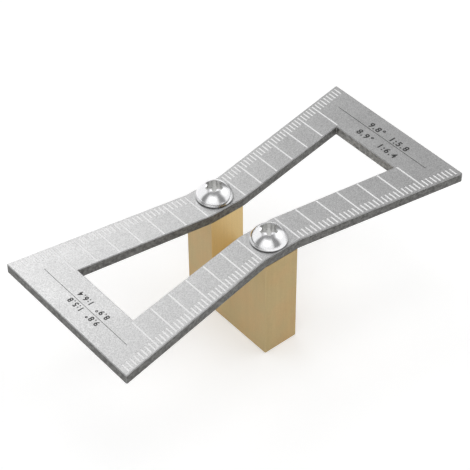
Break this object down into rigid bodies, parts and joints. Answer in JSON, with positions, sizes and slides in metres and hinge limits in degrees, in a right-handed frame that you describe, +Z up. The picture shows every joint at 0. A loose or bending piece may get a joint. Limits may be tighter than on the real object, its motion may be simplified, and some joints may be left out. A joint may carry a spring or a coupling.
{
  "type": "dovetail marker",
  "caption": "Bow-tie plate with graduated slanted edges and a bow-tie window, screwed on top of a notched brass fence block, for marking dovetails on wood.",
  "frame": {"origin": "centre of the fence block's foot, on the surface that the tool stands on", "axes": "+Z up through the plate, X along the plate's length, Y across it from screw to screw"},
  "size_m": [0.0886, 0.0392, 0.0303],
  "materials": {
    "satin_aluminium": "bead-blasted satin, with white filled graduations",
    "brass": "fine-milled, unpolished",
    "bright_steel": "polished"
  },
  "bodies": {
    "root": {"marking_plate": "satin_aluminium", "fence_block": "brass", "front_screw": "bright_steel", "rear_screw": "bright_steel"}
  },
  "joints": []
}
